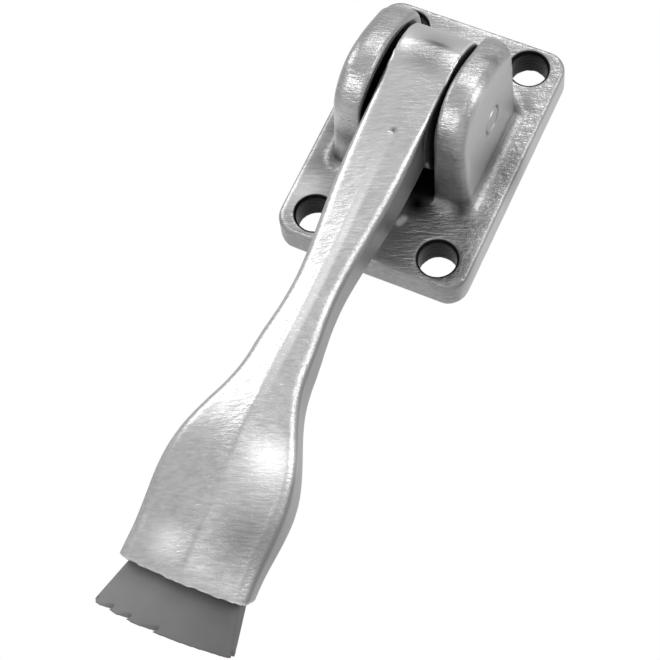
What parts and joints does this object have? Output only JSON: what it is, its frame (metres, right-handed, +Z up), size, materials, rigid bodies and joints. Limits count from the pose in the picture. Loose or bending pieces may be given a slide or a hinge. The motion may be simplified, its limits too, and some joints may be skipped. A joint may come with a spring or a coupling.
{
  "type": "kick-down door holder",
  "caption": "Cast plate screwed to the foot of a door, with a swinging arm between two ears that is kicked down so its rubber foot grips the floor.",
  "frame": {"origin": "middle of the plate's back face, on the door's surface", "axes": "+Z up the door, +X to the right seen from the front, -Y out of the door towards the viewer"},
  "size_m": [0.0446, 0.0398, 0.1608],
  "materials": {
    "base_casting": "satin rough cast",
    "arm_casting": "satin rough cast",
    "pin_steel": "ground",
    "foot_rubber": "moulded matt",
    "washer_steel": "dark spring steel"
  },
  "bodies": {
    "base": {"base": "base_casting", "pivot_pin": "pin_steel", "washer_left": "washer_steel", "washer_right": "washer_steel"},
    "arm": {"arm": "arm_casting", "rubber_foot": "foot_rubber"}
  },
  "joints": [
    {"name": "arm_swing", "type": "hinge", "parent": "base", "child": "arm", "pos_m": [0, -0.023, 0.0024], "axis": [-1, 0, 0], "range_deg": [-4, 172]}
  ]
}
